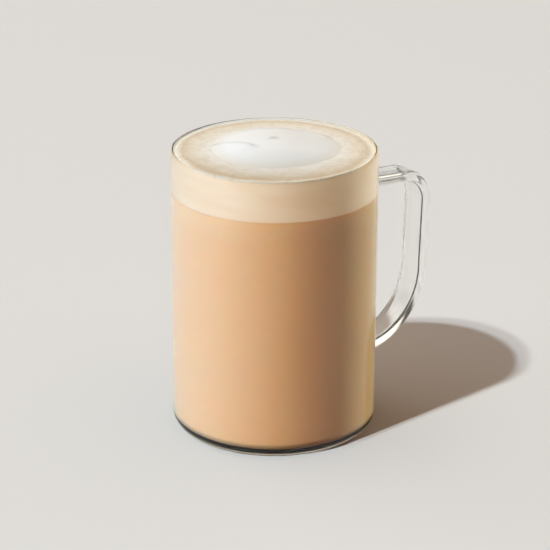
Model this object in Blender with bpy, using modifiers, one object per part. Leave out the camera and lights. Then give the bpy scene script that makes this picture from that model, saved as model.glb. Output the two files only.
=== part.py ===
"""A clear glass mug with a side handle, filled with white mocha: the drink, the foam layer on it
and a mound of white milk foam on top.

The mug stands on z = 0 with its axis on Z. The handle points along +X. Lengths are in metres.
"""
import math

import bmesh
import bpy

MM = 0.001

# Glass cup
CUP_RADIUS = 40.5 * MM
CUP_HEIGHT = 113.7 * MM
WALL = 1.8 * MM
FLOOR_THICKNESS = 3.2 * MM
BASE_CORNER_RADIUS = 4.0 * MM
LIP_OUTER_RADIUS = 1.1 * MM
LIP_INNER_RADIUS = WALL - LIP_OUTER_RADIUS
INNER_CORNER_RADIUS = 3.0 * MM
INNER_RADIUS = CUP_RADIUS - WALL

# Glass handle: a flat bar with rounded edges on a path of straights and two bends
BAR_WIDTH = 11.6 * MM
BAR_THICKNESS = 4.5 * MM
BAR_EDGE_RADIUS = 1.4 * MM
HANDLE_TOP = 92.0 * MM
TOP_ARM_DROP = math.radians(4.1)
TOP_ARM_LENGTH = 23.4 * MM
TOP_BEND_RADIUS = 11.1 * MM
GRIP_LEAN = math.radians(1.9)
GRIP_LENGTH = 29.2 * MM
LOW_BEND_RADIUS = 31.0 * MM
LOW_BEND_ANGLE = math.radians(76.6)
FLARE_LENGTH = 4.0 * MM
FLARE = 0.22

# What the cup holds
GAP = 0.3 * MM
MOCHA_LEVEL = 97.3 * MM
FOAM_LEVEL = 113.4 * MM
FOAM_EDGE_DROP = 0.5 * MM
FOAM_EDGE_WIDTH = 5.0 * MM

# Mound of milk foam. Its own X axis runs across it, and its Y axis away from the side it shows
MOUND_CENTRE = (1.5 * MM, 1.5 * MM)
MOUND_TURN = math.radians(-37.6)
MOUND_RADIUS = 25.8 * MM
MOUND_WAVES = 3
MOUND_WAVE_DEPTH = 0.02
MOUND_HEIGHT = 2.4 * MM
MOUND_EDGE = 0.35 * MM
MOUND_RINGS = 18
PEAK = (-1.2 * MM, 2.8 * MM)
PEAK_HEIGHT = 0.55 * MM
PEAK_WIDTH = 1.9 * MM

# Folds of the mound: each crest follows an arc, with a gentle slope on one side and a steep one
# on the other. Centre, radius, first and last angle, height, gentle width, steep width, and the
# side of the steep slope, 1 outside the arc and -1 inside it
FOLDS = {
    "near": (-27.5 * MM, -23.3 * MM, 26.2 * MM, 84, 42, 0.75 * MM, 4.5 * MM, 1.1 * MM, 1),
    "far": (-14.1 * MM, 43.9 * MM, 28.3 * MM, -86, -54, 0.45 * MM, 4.0 * MM, 1.2 * MM, -1),
    "side": (4.0 * MM, 0.0 * MM, 20.6 * MM, 60, 32, 0.50 * MM, 2.2 * MM, 1.0 * MM, 1),
}

SEGMENTS = 96
MOUND_SEGMENTS = 64
FOAM_EDGE_STEPS = 5
MERGE = 0.00001


def clear_scene():
    """Removes every object that is already there."""
    for old in list(bpy.data.objects):
        bpy.data.objects.remove(old, do_unlink=True)


def new_collection(name):
    """Adds a collection to the scene."""
    collection = bpy.data.collections.new(name)
    bpy.context.scene.collection.children.link(collection)
    return collection


def material(name, colour, roughness, transmission=0.0, ior=1.45):
    """Makes a Principled material with a flat colour."""
    mat = bpy.data.materials.new(name)
    mat.use_nodes = True
    shader = mat.node_tree.nodes["Principled BSDF"]
    shader.inputs["Base Color"].default_value = (*colour, 1.0)
    shader.inputs["Roughness"].default_value = roughness
    shader.inputs["Metallic"].default_value = 0.0
    shader.inputs["Transmission Weight"].default_value = transmission
    shader.inputs["IOR"].default_value = ior
    return mat


def arc(centre_x, centre_z, radius, start, end, steps):
    """Points on an arc in the XZ plane, from one angle to the other in degrees."""
    points = []
    for step in range(steps + 1):
        angle = math.radians(start + (end - start) * step / steps)
        points.append((centre_x + radius * math.cos(angle), centre_z + radius * math.sin(angle)))
    return points


def turned(name, profile, mat, collection, segments=SEGMENTS):
    """Turns an open profile of (radius, height) points about Z with a Screw modifier."""
    mesh = bpy.data.meshes.new(name)
    shape = bmesh.new()
    rim = [shape.verts.new((x, 0.0, z)) for x, z in profile]
    for first, second in zip(rim, rim[1:]):
        shape.edges.new((first, second))
    shape.to_mesh(mesh)
    shape.free()
    piece = bpy.data.objects.new(name, mesh)
    collection.objects.link(piece)
    screw = piece.modifiers.new("turn", "SCREW")
    screw.axis = "Z"
    screw.steps = segments
    screw.render_steps = segments
    screw.use_merge_vertices = True
    screw.merge_threshold = MERGE
    screw.use_smooth_shade = True
    mesh.materials.append(mat)
    return piece


def cup_profile():
    """The cup's section, from the middle of its floor over the lip and down to the underside."""
    inner_corner = arc(
        INNER_RADIUS - INNER_CORNER_RADIUS, FLOOR_THICKNESS + INNER_CORNER_RADIUS,
        INNER_CORNER_RADIUS, -90, 0, 5,
    )
    lip_x = CUP_RADIUS - LIP_OUTER_RADIUS
    inner_lip = arc(lip_x, CUP_HEIGHT - LIP_INNER_RADIUS, LIP_INNER_RADIUS, 180, 90, 4)
    outer_lip = arc(lip_x, CUP_HEIGHT - LIP_OUTER_RADIUS, LIP_OUTER_RADIUS, 90, 0, 5)
    base_corner = arc(
        CUP_RADIUS - BASE_CORNER_RADIUS, BASE_CORNER_RADIUS, BASE_CORNER_RADIUS, 0, -90, 7
    )
    floor_middle = (0.0, FLOOR_THICKNESS)
    return [floor_middle, *inner_corner, *inner_lip, *outer_lip[1:], *base_corner, (0.0, 0.0)]


def handle_path():
    """The bar's centre line in the XZ plane, as (x, z) points from the upper joint to the lower."""
    start_x = CUP_RADIUS - 0.5 * WALL
    heading = -TOP_ARM_DROP
    x, z = start_x, HANDLE_TOP + (CUP_RADIUS - start_x) * math.tan(TOP_ARM_DROP)
    points = [(x, z)]

    def straight(length, steps):
        nonlocal x, z
        for _ in range(steps):
            x += math.cos(heading) * length / steps
            z += math.sin(heading) * length / steps
            points.append((x, z))

    def bend(radius, angle, steps):
        nonlocal x, z, heading
        chord = 2 * radius * math.sin(angle / steps / 2)
        for _ in range(steps):
            heading -= angle / steps / 2
            x += math.cos(heading) * chord
            z += math.sin(heading) * chord
            heading -= angle / steps / 2
            points.append((x, z))

    straight(CUP_RADIUS - start_x + FLARE_LENGTH, 4)
    straight(TOP_ARM_LENGTH - FLARE_LENGTH, 2)
    bend(TOP_BEND_RADIUS, math.pi / 2 - TOP_ARM_DROP + GRIP_LEAN, 9)
    straight(GRIP_LENGTH, 2)
    bend(LOW_BEND_RADIUS, LOW_BEND_ANGLE, 12)
    run_in = (start_x - x) / math.cos(heading)
    straight(run_in - FLARE_LENGTH, 1)
    straight(FLARE_LENGTH, 4)
    return points


def bar_section(collection):
    """The handle's section, a flat curve: a rectangle with rounded corners."""
    curve = bpy.data.curves.new("handle_section", "CURVE")
    curve.dimensions = "2D"
    half_thickness = BAR_THICKNESS / 2 - BAR_EDGE_RADIUS
    half_width = BAR_WIDTH / 2 - BAR_EDGE_RADIUS
    corners = [(1, 1, 0), (-1, 1, 90), (-1, -1, 180), (1, -1, 270)]
    points = []
    for side_x, side_y, start in corners:
        points += arc(
            side_x * half_width, side_y * half_thickness, BAR_EDGE_RADIUS, start, start + 90, 3
        )
    spline = curve.splines.new("POLY")
    spline.points.add(len(points) - 1)
    for point, (x, y) in zip(spline.points, points):
        point.co = (x, y, 0.0, 1.0)
    spline.use_cyclic_u = True
    section = bpy.data.objects.new("handle_section", curve)
    collection.objects.link(section)
    section.hide_render = True
    section.display_type = "WIRE"
    return section


def handle_bar(mat, guides):
    """Sweeps the section along the path and returns the bar as a closed mesh object."""
    path = handle_path()
    curve = bpy.data.curves.new("handle_path", "CURVE")
    curve.dimensions = "3D"
    curve.twist_mode = "MINIMUM"
    curve.bevel_mode = "OBJECT"
    curve.bevel_object = bar_section(guides)
    curve.use_fill_caps = True
    spline = curve.splines.new("POLY")
    spline.points.add(len(path) - 1)
    for point, (x, z) in zip(spline.points, path):
        reach = max(0.0, CUP_RADIUS + FLARE_LENGTH - x) / FLARE_LENGTH
        point.co = (x, 0.0, z, 1.0)
        point.radius = 1.0 + FLARE * min(1.0, reach) ** 2
    guide = bpy.data.objects.new("handle_path", curve)
    guides.objects.link(guide)

    evaluated = guide.evaluated_get(bpy.context.evaluated_depsgraph_get())
    mesh = bpy.data.meshes.new_from_object(evaluated)
    shape = bmesh.new()
    shape.from_mesh(mesh)
    bmesh.ops.remove_doubles(shape, verts=shape.verts, dist=MERGE)
    bmesh.ops.recalc_face_normals(shape, faces=shape.faces)
    shape.to_mesh(mesh)
    shape.free()
    mesh.materials.clear()
    mesh.materials.append(mat)
    bar = bpy.data.objects.new("handle_bar", mesh)
    bar.matrix_world = guide.matrix_world
    guides.objects.link(bar)
    bpy.data.objects.remove(guide, do_unlink=True)
    bar.hide_render = True
    bar.display_type = "WIRE"
    return bar


def glass_mug(collection, guides):
    """The cup with its handle fused on, as one piece of clear glass."""
    glass = material("clear_glass", (0.95, 0.96, 0.95), 0.02, transmission=1.0, ior=1.5)
    mug = turned("glass_mug", cup_profile(), glass, collection)
    join = mug.modifiers.new("handle", "BOOLEAN")
    join.operation = "UNION"
    join.solver = "EXACT"
    join.object = handle_bar(glass, guides)
    return mug


def mocha(collection):
    """The drink, from just above the glass floor up to the foam."""
    colour = material("white_mocha", (0.66, 0.41, 0.21), 0.35)
    radius = INNER_RADIUS - GAP
    corner = INNER_CORNER_RADIUS - GAP
    bottom = FLOOR_THICKNESS + GAP
    rounding = arc(radius - corner, bottom + corner, corner, 0, -90, 5)
    profile = [(0.0, MOCHA_LEVEL), (radius, MOCHA_LEVEL), *rounding, (0.0, bottom)]
    return turned("mocha", profile, colour, collection)


def foam_layer(collection):
    """The band of coffee-tinted foam between the drink and the brim, rounded down to the glass."""
    colour = material("mocha_foam", (0.80, 0.66, 0.49), 0.6)
    radius = INNER_RADIUS - GAP
    edge = []
    for step in range(FOAM_EDGE_STEPS + 1):
        along = step / FOAM_EDGE_STEPS
        inset = FOAM_EDGE_WIDTH * (1 - along)
        edge.append((radius - inset, FOAM_LEVEL - FOAM_EDGE_DROP * along ** 2))
    bottom = MOCHA_LEVEL + GAP
    profile = [(0.0, FOAM_LEVEL), *edge, (radius, bottom), (0.0, bottom)]
    return turned("foam_layer", profile, colour, collection)


def bump(distance, width):
    """A smooth hump that is 1 at distance 0 and falls off over the width."""
    return math.exp(-((distance / width) ** 2))


def fold(x, y, centre_x, centre_y, radius, first, last, height, gentle, steep, steep_side):
    """Height of a crest along an arc, fading out past its two ends."""
    dx, dy = x - centre_x, y - centre_y
    across = (math.hypot(dx, dy) - radius) * steep_side
    middle, half = math.radians((first + last) / 2), math.radians(abs(last - first) / 2)
    turn = (math.atan2(dy, dx) - middle + math.pi) % (2 * math.pi) - math.pi
    past_end = max(0.0, abs(turn) - 0.6 * half) / (0.4 * half)
    return height * bump(past_end, 1.0) * bump(across, steep if across > 0 else gentle)


def mound_outline(turn):
    """Radius of the mound's edge in one direction."""
    return MOUND_RADIUS * (1 + MOUND_WAVE_DEPTH * math.cos(MOUND_WAVES * turn))


def mound_relief(x, y):
    """Height above the mound's flat base at a point counted from its centre."""
    reach = min(1.0, math.hypot(x, y) / mound_outline(math.atan2(y, x)))
    fall = 1.0 - reach ** 2
    dome = MOUND_HEIGHT * fall ** 1.2
    peak = PEAK_HEIGHT * bump(math.hypot(x - PEAK[0], y - PEAK[1]), PEAK_WIDTH)
    folds = sum(fold(x, y, *values) for values in FOLDS.values())
    return MOUND_EDGE + dome + (peak + folds) * min(1.0, 3 * fall)


def milk_foam(collection):
    """The mound of white milk foam: a turned disc whose upper side is raised by the relief."""
    colour = material("milk_foam", (0.88, 0.86, 0.83), 0.65)
    rings = [MOUND_RADIUS * step / MOUND_RINGS for step in range(MOUND_RINGS + 1)]
    profile = [(ring, MOUND_EDGE) for ring in rings] + [(MOUND_RADIUS, 0.0), (0.0, 0.0)]
    blank = turned("milk_foam_blank", profile, colour, collection, MOUND_SEGMENTS)
    evaluated = blank.evaluated_get(bpy.context.evaluated_depsgraph_get())
    mesh = bpy.data.meshes.new_from_object(evaluated)
    bpy.data.objects.remove(blank, do_unlink=True)
    for vertex in mesh.vertices:
        stretch = mound_outline(math.atan2(vertex.co.y, vertex.co.x)) / MOUND_RADIUS
        vertex.co.x *= stretch
        vertex.co.y *= stretch
        if vertex.co.z > MOUND_EDGE / 2:
            vertex.co.z = mound_relief(vertex.co.x, vertex.co.y)
    mound = bpy.data.objects.new("milk_foam", mesh)
    mound.location = (*MOUND_CENTRE, FOAM_LEVEL + GAP)
    mound.rotation_euler.z = MOUND_TURN
    collection.objects.link(mound)
    return mound


def build():
    """Builds the mug, the drink and the two foams."""
    clear_scene()
    collection = new_collection("white_mocha_in_glass_mug")
    guides = new_collection("guides")
    glass_mug(collection, guides)
    mocha(collection)
    foam_layer(collection)
    milk_foam(collection)


build()
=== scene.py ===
"""The looks of a white mocha in a clear glass mug: fine meshes, finishes, light and camera.

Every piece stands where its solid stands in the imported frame. Lengths are in metres, +Z is up, the
mug's axis is Z and its handle points along +X.
"""

import math

import bmesh
import bpy
from mathutils import Matrix, Vector


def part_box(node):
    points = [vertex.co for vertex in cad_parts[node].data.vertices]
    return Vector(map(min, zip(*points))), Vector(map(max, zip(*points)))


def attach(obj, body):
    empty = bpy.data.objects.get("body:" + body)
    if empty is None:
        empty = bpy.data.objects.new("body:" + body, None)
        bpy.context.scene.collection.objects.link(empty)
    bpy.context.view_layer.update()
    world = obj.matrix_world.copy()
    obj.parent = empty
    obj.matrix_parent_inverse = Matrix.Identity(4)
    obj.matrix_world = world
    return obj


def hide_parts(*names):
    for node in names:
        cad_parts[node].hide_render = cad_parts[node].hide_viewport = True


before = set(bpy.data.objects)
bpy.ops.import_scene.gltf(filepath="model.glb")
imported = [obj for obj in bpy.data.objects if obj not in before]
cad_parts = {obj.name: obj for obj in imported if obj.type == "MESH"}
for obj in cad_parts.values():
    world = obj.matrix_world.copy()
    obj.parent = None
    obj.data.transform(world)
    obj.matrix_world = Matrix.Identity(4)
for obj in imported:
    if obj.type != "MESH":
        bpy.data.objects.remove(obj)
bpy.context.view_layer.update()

MM = 0.001
# The finer curves stay this far inside the solids' box
HAIR = 0.001 * MM

# Sizes read from the frame
_, mug_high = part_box("glass_mug")
drink_low, drink_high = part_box("mocha")
layer_low, layer_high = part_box("foam_layer")
mound_low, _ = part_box("milk_foam")
GAP = layer_low.z - drink_high.z
CUP_RADIUS = mug_high.y - HAIR
CUP_HEIGHT = mug_high.z
INNER_RADIUS = drink_high.y + GAP
FLOOR_THICKNESS = drink_low.z - GAP
WALL = CUP_RADIUS - INNER_RADIUS
DRINK_LEVEL = drink_high.z
FOAM_LEVEL = layer_high.z

# Glass cup
LIP_OUTER_RADIUS = 1.1 * MM
LIP_INNER_RADIUS = WALL - LIP_OUTER_RADIUS
BASE_CORNER_RADIUS = 4.0 * MM
INNER_CORNER_RADIUS = 3.0 * MM
CUP_SEGMENTS = 240
WALL_STEPS = 24

# Glass handle
BAR_WIDTH = 11.6 * MM
BAR_THICKNESS = 4.5 * MM
BAR_EDGE_RADIUS = 1.4 * MM
HANDLE_TOP = 92.0 * MM
TOP_ARM_DROP = math.radians(4.1)
TOP_ARM_LENGTH = 23.39 * MM
TOP_BEND_RADIUS = 11.1 * MM
GRIP_LEAN = math.radians(1.9)
GRIP_LENGTH = 29.2 * MM
LOW_BEND_RADIUS = 31.0 * MM
LOW_BEND_ANGLE = math.radians(76.6)
FLARE_LENGTH = 4.0 * MM
FLARE = 0.22

# The drink and the foam reach this far into the glass, so that no air shows between them
BITE = 0.2 * MM
FOAM_EDGE_DROP = 0.5 * MM
AIRY_DEPTH = 9.6 * MM
FOAM_EDGE_WIDTH = 5.0 * MM

# Mound of milk foam. Its own X axis runs across it, and its Y axis away from the side it shows
MOUND_CENTRE = (1.5 * MM, 1.5 * MM)
MOUND_TURN = math.radians(-37.6)
MOUND_RADIUS = 25.8 * MM
MOUND_WAVES = 3
MOUND_WAVE_DEPTH = 0.02
MOUND_HEIGHT = 2.4 * MM
MOUND_EDGE = 0.35 * MM
MOUND_DEPTH = 1.5 * MM
DOME_POWER = 1.8
# Shares of its radius past which it sinks into the foam round it, and turns cream
SINK_START = 0.60
RIM_START = 0.75
EDGE_SINK = GAP + MOUND_EDGE + 0.1 * MM
PEAK = (-1.2 * MM, 2.8 * MM)
PEAK_HEIGHT = 0.55 * MM
PEAK_WIDTH = 1.9 * MM
# Painted shade in a spot just before the peak: its width, its depth, and how far it stretches across
PEAK_SHADE_WIDTH = 1.1 * MM
PEAK_SHADE_DEPTH = 0.6
PEAK_SHADE_STRETCH = 1.8
# Each fold follows an arc: its centre, radius, first and last direction in degrees, its height, how
# wide its gentle and its steep side are, and 1 where the steep side is the arc's outer one
FOLDS = {
    "near": (-27.5 * MM, -24.8 * MM, 26.2 * MM, 84, 42, 0.95 * MM, 4.5 * MM, 0.8 * MM, 1),
    "far": (-14.1 * MM, 43.9 * MM, 28.3 * MM, -86, -54, 0.60 * MM, 4.0 * MM, 1.0 * MM, -1),
    "side": (4.0 * MM, 0.0 * MM, 20.6 * MM, 60, 32, 0.65 * MM, 2.2 * MM, 0.8 * MM, 1),
}
# Share of a fold's half length that is full height, and how fast folds fade at the mound's edge
FOLD_FULL = 0.6
FOLD_FADE = 3
# Width and depth of the painted shade behind each fold, and how far back it lies, in widths
CREASES = {"near": (1.5 * MM, 0.75), "far": (2.6 * MM, 0.30), "side": (1.8 * MM, 0.40)}
CREASE_BACK = 0.7
MOUND_RINGS = 96
MOUND_SEGMENTS = 256

# Camera, at the height and turn of the photograph's view
VIEW_TURN = math.radians(-37.58)
VIEW_ELEVATION = math.radians(21.675)
VIEW_ROLL = math.radians(0.19)
VIEW_DISTANCE = 855.3 * MM
AIM_ASIDE = 0.32 * MM
AIM_HEIGHT = 61.04 * MM
SENSOR_WIDTH = 36.0
LENS = 141.65

# Lamps: turn round the mug from the view, to the right, and height above the floor, both in
# degrees, width of the lamp's face in degrees, colour and strength, and the pieces that it lights.
# One lamp lights everything. The others stand in for light that bounces inside the drink and the
# foam and for the view's toning, and the rear one evens out the blue of the left one behind
LAMPS = {
    "key": (-48, 50, 1.5, (0.871, 0.968, 1.039), None),
    "floor_left": (-100, 40, 80, (0.31, 0.31, 0.30), ("floor",)),
    "floor_top": (104, 65, 90, (0.285, 0.20, 0.15), ("floor",)),
    "drink_left": (-85, 15, 40, (0.0, 0.40, 1.85), ("mocha_drink",)),
    "drink_front": (-60, 15, 40, (0.46, 0.66, 0.26), ("mocha_drink",)),
    "drink_right": (30, 15, 40, (0.06, 0.0, 0.0), ("mocha_drink",)),
    "drink_back": (119, 15, 40, (0.82, 1.22, 1.07), ("mocha_drink",)),
    "drink_rear": (-155, 15, 40, (0.42, 0.42, 0.0), ("mocha_drink",)),
    "foam_left": (-85, 15, 40, (0.03, 0.14, 0.28), ("coffee_foam_layer",)),
    "foam_front": (-60, 15, 40, (0.39, 0.52, 0.90), ("coffee_foam_layer",)),
    "foam_right": (30, 15, 40, (0.17, 0.11, 0.04), ("coffee_foam_layer",)),
    "foam_back": (119, 15, 40, (1.0, 1.25, 1.50), ("coffee_foam_layer",)),
    "mound_back": (175, 35, 50, (0.39, 0.30, 0.23), ("milk_foam_mound",)),
}
LAMP_DISTANCE = 20.0
# The room as the glass sees it, from the horizon (0) to straight overhead (1)
ROOM = [
    (0.0, (0.62, 0.60, 0.57, 1.0)), (0.18, (0.80, 0.78, 0.74, 1.0)), (0.30, (0.09, 0.08, 0.06, 1.0)),
    (0.46, (0.09, 0.08, 0.06, 1.0)), (0.58, (1.30, 1.20, 1.04, 1.0)),
]
FLOOR_SIZE = 6.0
FLOOR_DROP = 0.3 * MM

MERGE = 0.01 * MM
SHARP_ANGLE = math.radians(40)


def srgb(code):
    """Turns an sRGB hex value to linear red, green and blue, with an alpha of 1."""
    channels = [int(code[start:start + 2], 16) / 255 for start in (0, 2, 4)]
    linear = [c / 12.92 if c <= 0.04045 else ((c + 0.055) / 1.055) ** 2.4 for c in channels]
    return (*linear, 1.0)


def add_node(tree, kind, inputs=None, stops=None, **settings):
    """Adds a node with its settings, its inputs as values or as sockets to link, and ramp stops."""
    made = tree.nodes.new("ShaderNode" + kind)
    for name, value in settings.items():
        setattr(made, name, value)
    for name, value in (inputs or {}).items():
        socket = next(s for s in made.inputs if name in (s.identifier, s.name))
        if isinstance(value, bpy.types.NodeSocket):
            tree.links.new(value, socket)
        else:
            socket.default_value = value
    for number, (place, colour) in enumerate(stops or []):
        if number < 2:
            stop = made.color_ramp.elements[number]
        else:
            stop = made.color_ramp.elements.new(place)
        stop.position = place
        stop.color = colour
    return made


def new_material(name):
    """Makes an empty node material and returns it with its tree and its output node."""
    mat = bpy.data.materials.new(name)
    mat.use_nodes = True
    tree = mat.node_tree
    tree.nodes.clear()
    return mat, tree, add_node(tree, "OutputMaterial")


def clear_soda_glass():
    """Pressed and fire-polished soda-lime glass: colourless, sharp reflections, slightly wavy."""
    mat, tree, output = new_material("clear_soda_glass")
    place = add_node(tree, "TexCoord")
    # The press leaves waves about 15 mm long, too shallow to feel
    waves = add_node(tree, "TexNoise", {
        "Vector": place.outputs["Object"], "Scale": 65.0, "Detail": 1.0,
    })
    bump = add_node(tree, "Bump", {
        "Height": waves.outputs["Fac"], "Strength": 0.10, "Distance": 0.05 * MM,
    })
    glass = add_node(tree, "BsdfPrincipled", {
        "Base Color": srgb("fdfefd"), "Roughness": 0.0, "IOR": 1.5, "Transmission Weight": 1.0,
        "Normal": bump.outputs["Normal"],
    })
    path = add_node(tree, "LightPath")
    clear = add_node(tree, "BsdfTransparent", {"Color": srgb("ffffff")})
    # Light thins where it leaves the cup's far wall at a slant, which draws the brim in the shadow
    slant = add_node(tree, "LayerWeight", {"Blend": 0.35})
    shade = add_node(
        tree, "ValToRGB", {"Fac": slant.outputs["Facing"]},
        [(0.45, srgb("fcfcfc")), (0.80, srgb("d8d6d2")), (0.97, srgb("6a6864"))],
    )
    parts = add_node(tree, "SeparateXYZ", {"Vector": place.outputs["Object"]})
    far_half = add_node(tree, "Math", {
        "Value": parts.outputs["X"], "Value_001": CUP_RADIUS / 2, "Value_002": CUP_RADIUS / 2,
    }, operation="COMPARE")
    through = add_node(tree, "Mix", {
        "Factor_Float": far_half.outputs["Value"], "A_Color": srgb("ffffff"),
        "B_Color": shade.outputs["Color"],
    }, data_type="RGBA")
    thinned = add_node(tree, "BsdfTransparent", {"Color": through.outputs[2]})
    for_diffuse = add_node(tree, "MixShader", {
        "Fac": path.outputs["Is Diffuse Ray"], "Shader": glass.outputs["BSDF"],
        "Shader_001": clear.outputs["BSDF"],
    })
    for_shadow = add_node(tree, "MixShader", {
        "Fac": path.outputs["Is Shadow Ray"], "Shader": for_diffuse.outputs["Shader"],
        "Shader_001": thinned.outputs["BSDF"],
    })
    tree.links.new(for_shadow.outputs["Shader"], output.inputs["Surface"])
    return mat


def milky_coffee():
    """Coffee with steamed milk and white chocolate: opaque, soft inside, with painted light making it
    paler just under the foam.
    """
    mat, tree, output = new_material("milky_coffee")
    place = add_node(tree, "TexCoord")
    height = add_node(tree, "SeparateXYZ", {"Vector": place.outputs["Object"]})
    # Slow clouds about 30 mm across, where milk and coffee aren't quite mixed
    clouds = add_node(tree, "TexNoise", {
        "Vector": place.outputs["Object"], "Scale": 33.0, "Detail": 2.0,
    })
    lift = add_node(tree, "Math", {
        "Value": clouds.outputs["Fac"], "Value_001": 4.0 * MM,
        "Value_002": height.outputs["Z"],
    }, operation="MULTIPLY_ADD")
    level = add_node(tree, "MapRange", {
        "Value": lift.outputs["Value"], "From Min": 0.0, "From Max": DRINK_LEVEL,
    })
    # Nearly even. Paler in its top few mm: painted light against the darker line that subsurface light
    # leaves at the drink's covered top edge
    colour = add_node(
        tree, "ValToRGB", {"Fac": level.outputs["Result"]},
        [(0.0, srgb("eeae77")), (0.93, srgb("efb07a")), (0.98, srgb("f0b581")), (1.0, srgb("f2b57f"))],
    )
    surface = add_node(tree, "BsdfPrincipled", {
        "Base Color": colour.outputs["Color"], "Roughness": 0.5, "IOR": 1.15,
        "Subsurface Weight": 1.0, "Subsurface Scale": 1.6 * MM,
        "Subsurface Radius": (1.0, 0.5, 0.25),
    })
    # The drink throws little of its colour on the floor beside it
    low_bounce = add_node(tree, "BsdfDiffuse", {"Color": srgb("8a5f3c")})
    path = add_node(tree, "LightPath")
    both = add_node(tree, "MixShader", {
        "Fac": path.outputs["Is Diffuse Ray"], "Shader": surface.outputs["BSDF"],
        "Shader_001": low_bounce.outputs["BSDF"],
    })
    tree.links.new(both.outputs["Shader"], output.inputs["Surface"])
    return mat


def shade_along(tree, place, direction, start, end):
    """Shades from 0 to 1 between two distances from the mug's axis in one direction."""
    distance = add_node(tree, "VectorMath", {
        "Vector": place.outputs["Object"], "Vector_001": direction,
    }, operation="DOT_PRODUCT")
    shade = add_node(tree, "MapRange", {
        "Value": distance.outputs["Value"], "From Min": start, "From Max": end,
    })
    return shade.outputs["Result"]


def near_side(tree, place):
    """Mask for painted shade: 0 by the near side of the brim, 1 just short of the middle."""
    return shade_along(tree, place, view_axes()[1], -34.0 * MM, -6.0 * MM)


def times(tree, first, second):
    """Multiplies two colours."""
    product = add_node(tree, "Mix", {
        "Factor_Float": 1.0, "A_Color": first, "B_Color": second,
    }, data_type="RGBA", blend_type="MULTIPLY")
    return product.outputs[2]


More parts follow.
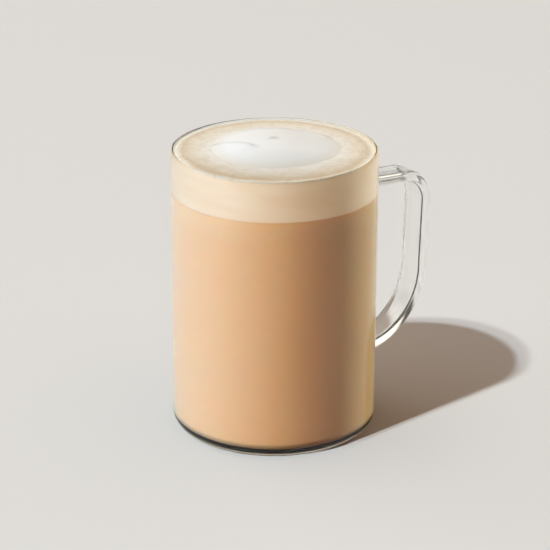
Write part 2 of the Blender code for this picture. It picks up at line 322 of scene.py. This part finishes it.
def coffee_foam():
    """Fine foam stained by coffee: dull, tan towards the glass on top, with pin-prick bubbles."""
    mat, tree, output = new_material("coffee_foam")
    place = add_node(tree, "TexCoord")
    # Swirls some 12 mm across bend the tan ring
    swirl = add_node(tree, "TexNoise", {
        "Vector": place.outputs["Object"], "Scale": 80.0, "Detail": 3.0, "Distortion": 0.6,
    })
    parts = add_node(tree, "SeparateXYZ", {"Vector": place.outputs["Object"]})
    flat = add_node(tree, "CombineXYZ", {"X": parts.outputs["X"], "Y": parts.outputs["Y"]})
    reach = add_node(tree, "VectorMath", {"Vector": flat.outputs["Vector"]}, operation="LENGTH")
    bent = add_node(tree, "Math", {
        "Value": swirl.outputs["Fac"], "Value_001": 3.0 * MM,
        "Value_002": reach.outputs["Value"],
    }, operation="MULTIPLY_ADD")
    ring = add_node(tree, "MapRange", {
        "Value": bent.outputs["Value"], "From Min": 20.0 * MM, "From Max": INNER_RADIUS + 1.5 * MM,
    })
    top_colour = add_node(
        tree, "ValToRGB", {"Fac": ring.outputs["Result"]},
        [
            (0.0, srgb("e6d8c6")), (0.42, srgb("e4cfb6")), (0.72, srgb("dcc1a0")),
            (0.86, srgb("cfaf8b")), (0.97, srgb("f0dabb")),
        ],
    )
    # Painted shade: the foam is a little greyer towards the near side
    painted_near_shade = add_node(tree, "Mix", {
        "Factor_Float": near_side(tree, place), "A_Color": srgb("e4e2de"),
        "B_Color": srgb("ffffff"),
    }, data_type="RGBA")
    # Larger bubbles gather by the glass, one in three cells of about 1 mm
    froth = add_node(tree, "TexVoronoi", {"Vector": place.outputs["Object"], "Scale": 950.0})
    pick = add_node(tree, "SeparateColor", {"Color": froth.outputs["Color"]})
    chosen = add_node(tree, "Math", {
        "Value": pick.outputs["Red"], "Value_001": 0.66,
    }, operation="GREATER_THAN")
    by_glass = add_node(tree, "MapRange", {
        "Value": ring.outputs["Result"], "From Min": 0.66, "From Max": 0.92,
    })
    spot = add_node(tree, "MapRange", {
        "Value": froth.outputs["Distance"], "From Min": 0.42, "From Max": 0.12,
    })
    masked = add_node(tree, "Math", {
        "Value": chosen.outputs["Value"], "Value_001": by_glass.outputs["Result"],
    }, operation="MULTIPLY")
    frothy = add_node(tree, "Math", {
        "Value": masked.outputs["Value"], "Value_001": spot.outputs["Result"],
    }, operation="MULTIPLY")
    bubble_tint = add_node(tree, "Mix", {
        "Factor_Float": frothy.outputs["Value"], "A_Color": srgb("ffffff"),
        "B_Color": srgb("d9cdbb"),
    }, data_type="RGBA")
    # Slight blotches 4 mm across, where milk and crema mix
    blotch = add_node(tree, "TexNoise", {
        "Vector": place.outputs["Object"], "Scale": 240.0, "Detail": 4.0, "Distortion": 1.2,
    })
    blotch_tint = add_node(
        tree, "ValToRGB", {"Fac": blotch.outputs["Fac"]},
        [(0.35, srgb("f3efe8")), (0.60, srgb("ffffff"))],
    )
    mixed = times(tree, top_colour.outputs["Color"], painted_near_shade.outputs[2])
    blotchy = times(tree, mixed, blotch_tint.outputs["Color"])
    crema = times(tree, blotchy, bubble_tint.outputs[2])
    # Seen through the glass: faint level bands a few mm apart, and browner towards the drink
    squeezed = add_node(tree, "Mapping", {
        "Vector": place.outputs["Object"], "Scale": (0.25, 0.25, 1.0),
    })
    bands = add_node(tree, "TexNoise", {
        "Vector": squeezed.outputs["Vector"], "Scale": 160.0, "Detail": 2.0,
    })
    band_colour = add_node(
        tree, "ValToRGB", {"Fac": bands.outputs["Fac"]},
        [(0.35, srgb("f4cb98")), (0.65, srgb("f8d3a3"))],
    )
    uneven = add_node(tree, "Math", {
        "Value": bands.outputs["Fac"], "Value_001": 1.5 * MM, "Value_002": parts.outputs["Z"],
    }, operation="MULTIPLY_ADD")
    above_drink = add_node(tree, "MapRange", {
        "Value": uneven.outputs["Value"], "From Min": DRINK_LEVEL + 0.2 * MM,
        "From Max": DRINK_LEVEL + 2.0 * MM,
    })
    side_colour = add_node(tree, "Mix", {
        "Factor_Float": above_drink.outputs["Result"], "A_Color": srgb("f4c695"),
        "B_Color": band_colour.outputs["Color"],
    }, data_type="RGBA")
    top_share = add_node(tree, "MapRange", {
        "Value": parts.outputs["Z"], "From Min": FOAM_LEVEL - 1.1 * MM,
        "From Max": FOAM_LEVEL - 0.55 * MM,
    })
    colour = add_node(tree, "Mix", {
        "Factor_Float": top_share.outputs["Result"], "A_Color": side_colour.outputs[2],
        "B_Color": crema,
    }, data_type="RGBA")
    # Bubbles about 0.5 mm wide
    bubbles = add_node(tree, "TexVoronoi", {
        "Vector": place.outputs["Object"], "Scale": 2000.0,
    })
    bump = add_node(tree, "Bump", {
        "Height": bubbles.outputs["Distance"], "Strength": 0.25, "Distance": 0.1 * MM,
    })
    surface = add_node(tree, "BsdfPrincipled", {
        "Base Color": colour.outputs[2], "Roughness": 0.5, "IOR": 1.6,
        "Normal": bump.outputs["Normal"],
    })
    path = add_node(tree, "LightPath")
    # A part of the lamp's light passes through the upper foam, which has the largest bubbles
    airy = add_node(tree, "MapRange", {
        "Value": parts.outputs["Z"], "From Min": FOAM_LEVEL - AIRY_DEPTH - 1.0 * MM,
        "From Max": FOAM_LEVEL - AIRY_DEPTH + 1.0 * MM,
    })
    passed = add_node(tree, "Mix", {
        "Factor_Float": airy.outputs["Result"], "A_Color": (0.0, 0.0, 0.0, 1.0),
        "B_Color": srgb("e7e8eb"),
    }, data_type="RGBA")
    pale = add_node(tree, "BsdfTransparent", {"Color": passed.outputs[2]})
    both = add_node(tree, "MixShader", {
        "Fac": path.outputs["Is Shadow Ray"], "Shader": surface.outputs["BSDF"],
        "Shader_001": pale.outputs["BSDF"],
    })
    tree.links.new(both.outputs["Shader"], output.inputs["Surface"])
    return mat


def white_milk_foam():
    """Silky steamed-milk foam: white and dull with a faint wet sheen, stained cream at its rim."""
    mat, tree, output = new_material("white_milk_foam")
    place = add_node(tree, "TexCoord")
    edge = add_node(tree, "Attribute", attribute_name="rim")
    rim_colour = add_node(tree, "Mix", {
        "Factor_Float": shade_along(tree, place, view_axes()[0], -12.0 * MM, 14.0 * MM),
        "A_Color": srgb("e9e1d5"), "B_Color": srgb("eae2d6"),
    }, data_type="RGBA")
    colour = add_node(tree, "Mix", {
        "Factor_Float": edge.outputs["Fac"], "A_Color": srgb("efeeeb"),
        "B_Color": rim_colour.outputs[2],
    }, data_type="RGBA")
    # Painted shade: greyer towards the near side, as the layer round it, and a little towards the right
    painted_near_shade = add_node(tree, "Mix", {
        "Factor_Float": near_side(tree, place), "A_Color": srgb("d6d6d1"),
        "B_Color": srgb("ffffff"),
    }, data_type="RGBA")
    to_right = shade_along(tree, place, view_axes()[0], -16.0 * MM, 8.0 * MM)
    painted_right_shade = add_node(tree, "Mix", {
        "Factor_Float": to_right, "A_Color": srgb("ffffff"), "B_Color": srgb("f2f1ef"),
    }, data_type="RGBA")
    painted_side_shade = times(tree, painted_near_shade.outputs[2], painted_right_shade.outputs[2])
    # Painted shade in the creases behind the folds
    crease = add_node(tree, "Attribute", attribute_name="crease")
    painted_crease_shade = add_node(tree, "Mix", {
        "Factor_Float": crease.outputs["Fac"], "A_Color": srgb("ffffff"),
        "B_Color": srgb("bcbebd"),
    }, data_type="RGBA")
    shaded = times(tree, times(tree, colour.outputs[2], painted_side_shade), painted_crease_shade.outputs[2])
    # Bubbles about 0.3 mm wide
    bubbles = add_node(tree, "TexVoronoi", {
        "Vector": place.outputs["Object"], "Scale": 3300.0,
    })
    bump = add_node(tree, "Bump", {
        "Height": bubbles.outputs["Distance"], "Strength": 0.12, "Distance": 0.1 * MM,
    })
    surface = add_node(tree, "BsdfPrincipled", {
        "Base Color": shaded, "Roughness": 0.45, "IOR": 1.3,
        "Normal": bump.outputs["Normal"],
    })
    path = add_node(tree, "LightPath")
    pale = add_node(tree, "BsdfTransparent", {"Color": srgb("e7e8eb")})
    both = add_node(tree, "MixShader", {
        "Fac": path.outputs["Is Shadow Ray"], "Shader": surface.outputs["BSDF"],
        "Shader_001": pale.outputs["BSDF"],
    })
    tree.links.new(both.outputs["Shader"], output.inputs["Surface"])
    return mat


def matte_paper():
    """Matte background paper: pale warm grey with a faint tooth."""
    mat, tree, output = new_material("matte_paper")
    place = add_node(tree, "TexCoord")
    # Paper fibres, drawn about 0.5 mm coarse
    tooth = add_node(tree, "TexNoise", {"Vector": place.outputs["Object"], "Scale": 2000.0})
    bump = add_node(tree, "Bump", {
        "Height": tooth.outputs["Fac"], "Strength": 0.05, "Distance": 0.05 * MM,
    })
    surface = add_node(tree, "BsdfPrincipled", {
        "Base Color": (0.657, 0.637, 0.605, 1.0), "Roughness": 1.0, "Specular IOR Level": 0.0,
        "Normal": bump.outputs["Normal"],
    })
    # The floor sends little light back up: the drink's far side stays deep
    low_bounce = add_node(tree, "BsdfDiffuse", {"Color": (0.07, 0.06, 0.05, 1.0)})
    path = add_node(tree, "LightPath")
    both = add_node(tree, "MixShader", {
        "Fac": path.outputs["Is Diffuse Ray"], "Shader": surface.outputs["BSDF"],
        "Shader_001": low_bounce.outputs["BSDF"],
    })
    tree.links.new(both.outputs["Shader"], output.inputs["Surface"])
    return mat


def arc(centre_x, centre_z, radius, start, end, steps):
    """Points on an arc in the XZ plane, from one angle to the other in degrees."""
    points = []
    for step in range(steps + 1):
        angle = math.radians(start + (end - start) * step / steps)
        points.append((centre_x + radius * math.cos(angle), centre_z + radius * math.sin(angle)))
    return points


def line(first, last, steps):
    """Points between two points, without the two themselves."""
    return [
        (first[0] + (last[0] - first[0]) * step / steps, first[1] + (last[1] - first[1]) * step / steps)
        for step in range(1, steps)
    ]


def spun(profile, segments):
    """Spins a profile of (radius, height) points about Z into a closed shape."""
    shape = bmesh.new()
    points = [shape.verts.new((x, 0.0, z)) for x, z in profile]
    edges = [shape.edges.new(pair) for pair in zip(points, points[1:])]
    bmesh.ops.spin(
        shape, geom=points + edges, cent=(0, 0, 0), axis=(0, 0, 1), angle=math.tau,
        steps=segments, use_merge=True,
    )
    bmesh.ops.remove_doubles(shape, verts=shape.verts, dist=MERGE)
    bmesh.ops.recalc_face_normals(shape, faces=shape.faces)
    return shape


def to_piece(name, shape, mat):
    """Makes an object of a bmesh, smooth except at sharp edges."""
    mesh = bpy.data.meshes.new(name)
    shape.to_mesh(mesh)
    shape.free()
    mesh.materials.append(mat)
    mesh.shade_smooth()
    mesh.set_sharp_from_angle(angle=SHARP_ANGLE)
    piece = bpy.data.objects.new(name, mesh)
    bpy.context.scene.collection.objects.link(piece)
    return piece


def cup_shape():
    """The cup: floor, wall, fire-polished lip and rounded foot."""
    inner_corner = arc(
        INNER_RADIUS - INNER_CORNER_RADIUS, FLOOR_THICKNESS + INNER_CORNER_RADIUS,
        INNER_CORNER_RADIUS, -90, 0, 12,
    )
    lip_x = CUP_RADIUS - LIP_OUTER_RADIUS
    inner_lip = arc(lip_x, CUP_HEIGHT - LIP_INNER_RADIUS, LIP_INNER_RADIUS, 180, 90, 10)
    outer_lip = arc(lip_x, CUP_HEIGHT - LIP_OUTER_RADIUS, LIP_OUTER_RADIUS, 90, 0, 12)
    base_corner = arc(
        CUP_RADIUS - BASE_CORNER_RADIUS, BASE_CORNER_RADIUS, BASE_CORNER_RADIUS, 0, -90, 14
    )
    return spun([
        (0.0, FLOOR_THICKNESS), *inner_corner,
        *line(inner_corner[-1], inner_lip[0], WALL_STEPS), *inner_lip, *outer_lip[1:],
        *line(outer_lip[-1], base_corner[0], WALL_STEPS), *base_corner, (0.0, 0.0),
    ], CUP_SEGMENTS)


def section_place(x, z, heading):
    """Where the bar's section stands on its path, larger where it runs into the cup."""
    reach = min(1.0, max(0.0, CUP_RADIUS + FLARE_LENGTH - x) / FLARE_LENGTH)
    return (
        Matrix.Translation((x, 0.0, z)) @ Matrix.Rotation(-heading, 4, "Y")
        @ Matrix.Scale(1 + FLARE * reach ** 2, 4)
    )


def section_places():
    """The places of the bar's section from the upper joint to the lower one."""
    start_x = CUP_RADIUS - 0.5 * WALL
    heading = -TOP_ARM_DROP
    x, z = start_x, HANDLE_TOP + (CUP_RADIUS - start_x) * math.tan(TOP_ARM_DROP)
    places = [section_place(x, z, heading)]

    def straight(length, steps):
        nonlocal x, z
        for _ in range(steps):
            x += math.cos(heading) * length / steps
            z += math.sin(heading) * length / steps
            places.append(section_place(x, z, heading))

    def bend(radius, angle, steps):
        nonlocal x, z, heading
        chord = 2 * radius * math.sin(angle / steps / 2)
        for _ in range(steps):
            heading -= angle / steps / 2
            x += math.cos(heading) * chord
            z += math.sin(heading) * chord
            heading -= angle / steps / 2
            places.append(section_place(x, z, heading))

    straight(CUP_RADIUS - start_x + FLARE_LENGTH, 12)
    straight(TOP_ARM_LENGTH - FLARE_LENGTH, 6)
    bend(TOP_BEND_RADIUS, math.pi / 2 - TOP_ARM_DROP + GRIP_LEAN, 32)
    straight(GRIP_LENGTH, 8)
    bend(LOW_BEND_RADIUS, LOW_BEND_ANGLE, 40)
    run_in = (start_x - x) / math.cos(heading)
    straight(run_in - FLARE_LENGTH, 2)
    straight(FLARE_LENGTH, 12)
    return places


def handle_shape():
    """The handle: a flat bar with rounded edges, extruded from place to place along its path."""
    shape = bmesh.new()
    bmesh.ops.create_grid(shape, x_segments=1, y_segments=1, size=0.5)
    bmesh.ops.scale(shape, vec=(BAR_THICKNESS, BAR_WIDTH, 1.0), verts=shape.verts)
    bmesh.ops.rotate(
        shape, verts=shape.verts, cent=(0, 0, 0), matrix=Matrix.Rotation(math.pi / 2, 3, "Y")
    )
    bmesh.ops.bevel(
        shape, geom=shape.verts[:], offset=BAR_EDGE_RADIUS, segments=8, profile=0.5,
        affect="VERTICES", material=-1,
    )
    bmesh.ops.delete(shape, geom=shape.faces[:], context="FACES_ONLY")
    ring = shape.edges[:]
    places = section_places()
    bmesh.ops.transform(shape, matrix=places[0], verts=shape.verts)
    bmesh.ops.contextual_create(shape, geom=ring)
    for last, place in zip(places, places[1:]):
        grown = bmesh.ops.extrude_edge_only(shape, edges=ring)["geom"]
        corners = {part for part in grown if isinstance(part, bmesh.types.BMVert)}
        bmesh.ops.transform(shape, matrix=place @ last.inverted(), verts=list(corners))
        ring = [
            part for part in grown
            if isinstance(part, bmesh.types.BMEdge) and corners.issuperset(part.verts)
        ]
    bmesh.ops.contextual_create(shape, geom=ring)
    bmesh.ops.recalc_face_normals(shape, faces=shape.faces)
    return shape


def glass_mug():
    """The cup with its handle fused on, as one piece of glass."""
    glass = clear_soda_glass()
    mug = to_piece("clear_glass_mug", cup_shape(), glass)
    handle = to_piece("handle_blank", handle_shape(), glass)
    join = mug.modifiers.new("handle", "BOOLEAN")
    join.operation = "UNION"
    join.solver = "EXACT"
    join.object = handle
    evaluated = mug.evaluated_get(bpy.context.evaluated_depsgraph_get())
    mesh = bpy.data.meshes.new_from_object(evaluated)
    mesh.set_sharp_from_angle(angle=SHARP_ANGLE)
    mug.modifiers.clear()
    mug.data = mesh
    bpy.data.objects.remove(handle, do_unlink=True)
    return mug


def drink():
    """The drink, up to the foam."""
    radius = INNER_RADIUS + BITE
    bottom = FLOOR_THICKNESS - BITE
    corner = INNER_CORNER_RADIUS + BITE
    rounding = arc(radius - corner, bottom + corner, corner, 0, -90, 12)
    top = DRINK_LEVEL + GAP / 2
    profile = [
        (0.0, top), (radius, top), *line((radius, top), rounding[0], WALL_STEPS), *rounding,
        (0.0, bottom),
    ]
    return to_piece("mocha_drink", spun(profile, CUP_SEGMENTS), milky_coffee())


def foam_top(radius):
    """Height of the foam layer's top at a distance from its middle."""
    along = max(0.0, 1 - (INNER_RADIUS - radius) / FOAM_EDGE_WIDTH)
    return FOAM_LEVEL - FOAM_EDGE_DROP * min(1.0, along) ** 2


def foam_layer():
    """The band of foam between the drink and the brim, rounded down to the glass."""
    radius = INNER_RADIUS + BITE
    rings = 80
    top = [(radius * step / rings, foam_top(radius * step / rings)) for step in range(rings + 1)]
    bottom = DRINK_LEVEL
    profile = [*top, *line(top[-1], (radius, bottom), WALL_STEPS), (radius, bottom), (0.0, bottom)]
    return to_piece("coffee_foam_layer", spun(profile, CUP_SEGMENTS), coffee_foam())


def hump(distance, width):
    """A smooth hump that is 1 at distance 0 and falls off over the width."""
    return math.exp(-((distance / width) ** 2))


def near_fold(x, y, centre_x, centre_y, radius, first, last, steep_side):
    """Distance across an arc, positive on its steep side, and 1 along it, fading past its ends."""
    dx, dy = x - centre_x, y - centre_y
    across = (math.hypot(dx, dy) - radius) * steep_side
    middle, half = math.radians((first + last) / 2), math.radians(abs(last - first) / 2)
    turn = (math.atan2(dy, dx) - middle + math.pi) % (2 * math.pi) - math.pi
    past_end = max(0.0, abs(turn) - FOLD_FULL * half) / ((1 - FOLD_FULL) * half)
    return across, hump(past_end, 1.0)


def fold(x, y, name):
    """Height of a fold's crest at a point, and the painted shade in the crease behind it."""
    *arc_values, height, gentle, steep, steep_side = FOLDS[name]
    across, strength = near_fold(x, y, *arc_values, steep_side)
    width, depth = CREASES[name]
    rise = height * strength * hump(across, steep if across > 0 else gentle)
    return rise, depth * strength * hump(across - CREASE_BACK * width, width)


def mound_outline(turn):
    """Radius of the mound's edge in one direction."""
    return MOUND_RADIUS * (1 + MOUND_WAVE_DEPTH * math.cos(MOUND_WAVES * turn))


def mound_relief(x, y):
    """Height above the mound's base at a point counted from its centre."""
    reach = min(1.0, math.hypot(x, y) / mound_outline(math.atan2(y, x)))
    fall = 1.0 - reach ** 2
    dome = MOUND_HEIGHT * fall ** DOME_POWER
    peak = PEAK_HEIGHT * hump(math.hypot(x - PEAK[0], y - PEAK[1]), PEAK_WIDTH)
    folds = sum(fold(x, y, name)[0] for name in FOLDS)
    return MOUND_EDGE + dome + (peak + folds) * min(1.0, FOLD_FADE * fall)


def mound_crease(x, y):
    """Painted shade in the creases: behind each fold and in a spot just before the peak."""
    aside, before = (x - PEAK[0]) / PEAK_SHADE_STRETCH, y - PEAK[1] + PEAK_SHADE_WIDTH
    peak_shade = PEAK_SHADE_DEPTH * hump(math.hypot(aside, before), PEAK_SHADE_WIDTH)
    return min(1.0, peak_shade + sum(fold(x, y, name)[1] for name in FOLDS))


def milk_foam():
    """The mound of milk foam, whose rim runs down into the foam layer."""
    sunk = -MOUND_DEPTH
    rings = [MOUND_RADIUS * step / MOUND_RINGS for step in range(MOUND_RINGS + 1)]
    profile = [(ring, 0.0) for ring in rings] + [(MOUND_RADIUS, sunk), (0.0, sunk)]
    shape = spun(profile, MOUND_SEGMENTS)
    rim = shape.verts.layers.float.new("rim")
    # A vertex layer of painted shade for the creases
    crease = shape.verts.layers.float.new("crease")
    for vert in shape.verts:
        reach = vert.co.xy.length / MOUND_RADIUS
        vert[rim] = max(0.0, (reach - RIM_START) / (1 - RIM_START))
        stretch = mound_outline(math.atan2(vert.co.y, vert.co.x)) / MOUND_RADIUS
        vert.co.x *= stretch
        vert.co.y *= stretch
        if vert.co.z > sunk / 2:
            sink = EDGE_SINK * max(0.0, (reach - SINK_START) / (1 - SINK_START)) ** 2
            vert.co.z = mound_relief(vert.co.x, vert.co.y) - sink
            vert[crease] = mound_crease(vert.co.x, vert.co.y)
    turn = Matrix.Rotation(MOUND_TURN, 4, "Z")
    base = Matrix.Translation((*MOUND_CENTRE, mound_low.z))
    bmesh.ops.transform(shape, matrix=base @ turn, verts=shape.verts)
    return to_piece("milk_foam_mound", shape, white_milk_foam())


def floor():
    """A plain pale floor, just under the mug."""
    shape = bmesh.new()
    bmesh.ops.create_grid(shape, x_segments=1, y_segments=1, size=FLOOR_SIZE / 2)
    bmesh.ops.translate(shape, vec=(0, 0, -FLOOR_DROP), verts=shape.verts)
    ground = to_piece("floor", shape, matte_paper())


def view_axes():
    """Level directions to the right of the view and away from it."""
    right = Vector((math.cos(VIEW_TURN), math.sin(VIEW_TURN), 0.0))
    return right, Vector((-right.y, right.x, 0.0))


def lamp(name, turn, height, width, colour, lit):
    """A round far-off lamp. It lights only the pieces named, or everything."""
    data = bpy.data.lights.new(name, "AREA")
    data.shape = "DISK"
    half_width = math.radians(width / 2)
    data.size = 2 * LAMP_DISTANCE * math.tan(half_width)
    # A white sheet that faces the lamp comes out as bright as the colour says
    strongest = max(colour)
    data.energy = strongest * (math.pi * LAMP_DISTANCE / math.cos(half_width)) ** 2
    data.color = [channel / strongest for channel in colour]
    made = bpy.data.objects.new(name, data)
    right, away = view_axes()
    turn, height = math.radians(turn), math.radians(height)
    level = right * math.sin(turn) - away * math.cos(turn)
    toward = level * math.cos(height) + Vector((0, 0, math.sin(height)))
    made.rotation_mode = "QUATERNION"
    made.rotation_quaternion = toward.to_track_quat("Z", "Y")
    made.location = toward * LAMP_DISTANCE
    bpy.context.scene.collection.objects.link(made)
    if lit:
        group = bpy.data.collections.new(name + "_lights")
        for piece in lit:
            group.objects.link(bpy.data.objects[piece])
        made.light_linking.receiver_collection = group


def studio():
    """The lamps, and the room that the glass reflects."""
    for name, values in LAMPS.items():
        lamp(name, *values)
    world = bpy.data.worlds.new("studio")
    world.use_nodes = True
    bpy.context.scene.world = world
    tree = world.node_tree
    tree.nodes.clear()
    world.cycles_visibility.diffuse = False
    heading = add_node(tree, "TexCoord")
    parts = add_node(tree, "SeparateXYZ", {"Vector": heading.outputs["Generated"]})
    shades = add_node(tree, "ValToRGB", {"Fac": parts.outputs["Z"]}, ROOM)
    room = add_node(tree, "Background", {"Color": shades.outputs["Color"], "Strength": 1.0})
    backdrop = add_node(tree, "Background", {"Color": srgb("dddad5"), "Strength": 1.0})
    path = add_node(tree, "LightPath")
    both = add_node(tree, "MixShader", {
        "Fac": path.outputs["Is Camera Ray"], "Shader": room.outputs["Background"],
        "Shader_001": backdrop.outputs["Background"],
    })
    output = add_node(tree, "OutputWorld")
    tree.links.new(both.outputs["Shader"], output.inputs["Surface"])


def camera():
    """A long lens at the photograph's height and turn."""
    data = bpy.data.cameras.new("camera")
    data.sensor_width = SENSOR_WIDTH
    data.lens = LENS
    data.clip_start = 0.01
    right, away = view_axes()
    back = -away * math.cos(VIEW_ELEVATION) + Vector((0, 0, math.sin(VIEW_ELEVATION)))
    up = back.cross(right)
    aside = math.cos(VIEW_ROLL) * right + math.sin(VIEW_ROLL) * up
    upright = -math.sin(VIEW_ROLL) * right + math.cos(VIEW_ROLL) * up
    place = Matrix((aside, upright, back)).transposed().to_4x4()
    place.translation = right * AIM_ASIDE + Vector((0, 0, AIM_HEIGHT)) + back * VIEW_DISTANCE
    made = bpy.data.objects.new("camera", data)
    made.matrix_world = place
    bpy.context.scene.collection.objects.link(made)
    bpy.context.scene.camera = made


def stand_for(piece, node):
    """Lets a piece ride on the body and stand for its solid."""
    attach(piece, "root")
    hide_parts(node)


camera()
floor()
stand_for(glass_mug(), "glass_mug")
stand_for(drink(), "mocha")
stand_for(foam_layer(), "foam_layer")
stand_for(milk_foam(), "milk_foam")
studio()
bpy.context.scene.view_settings.view_transform = "Standard"
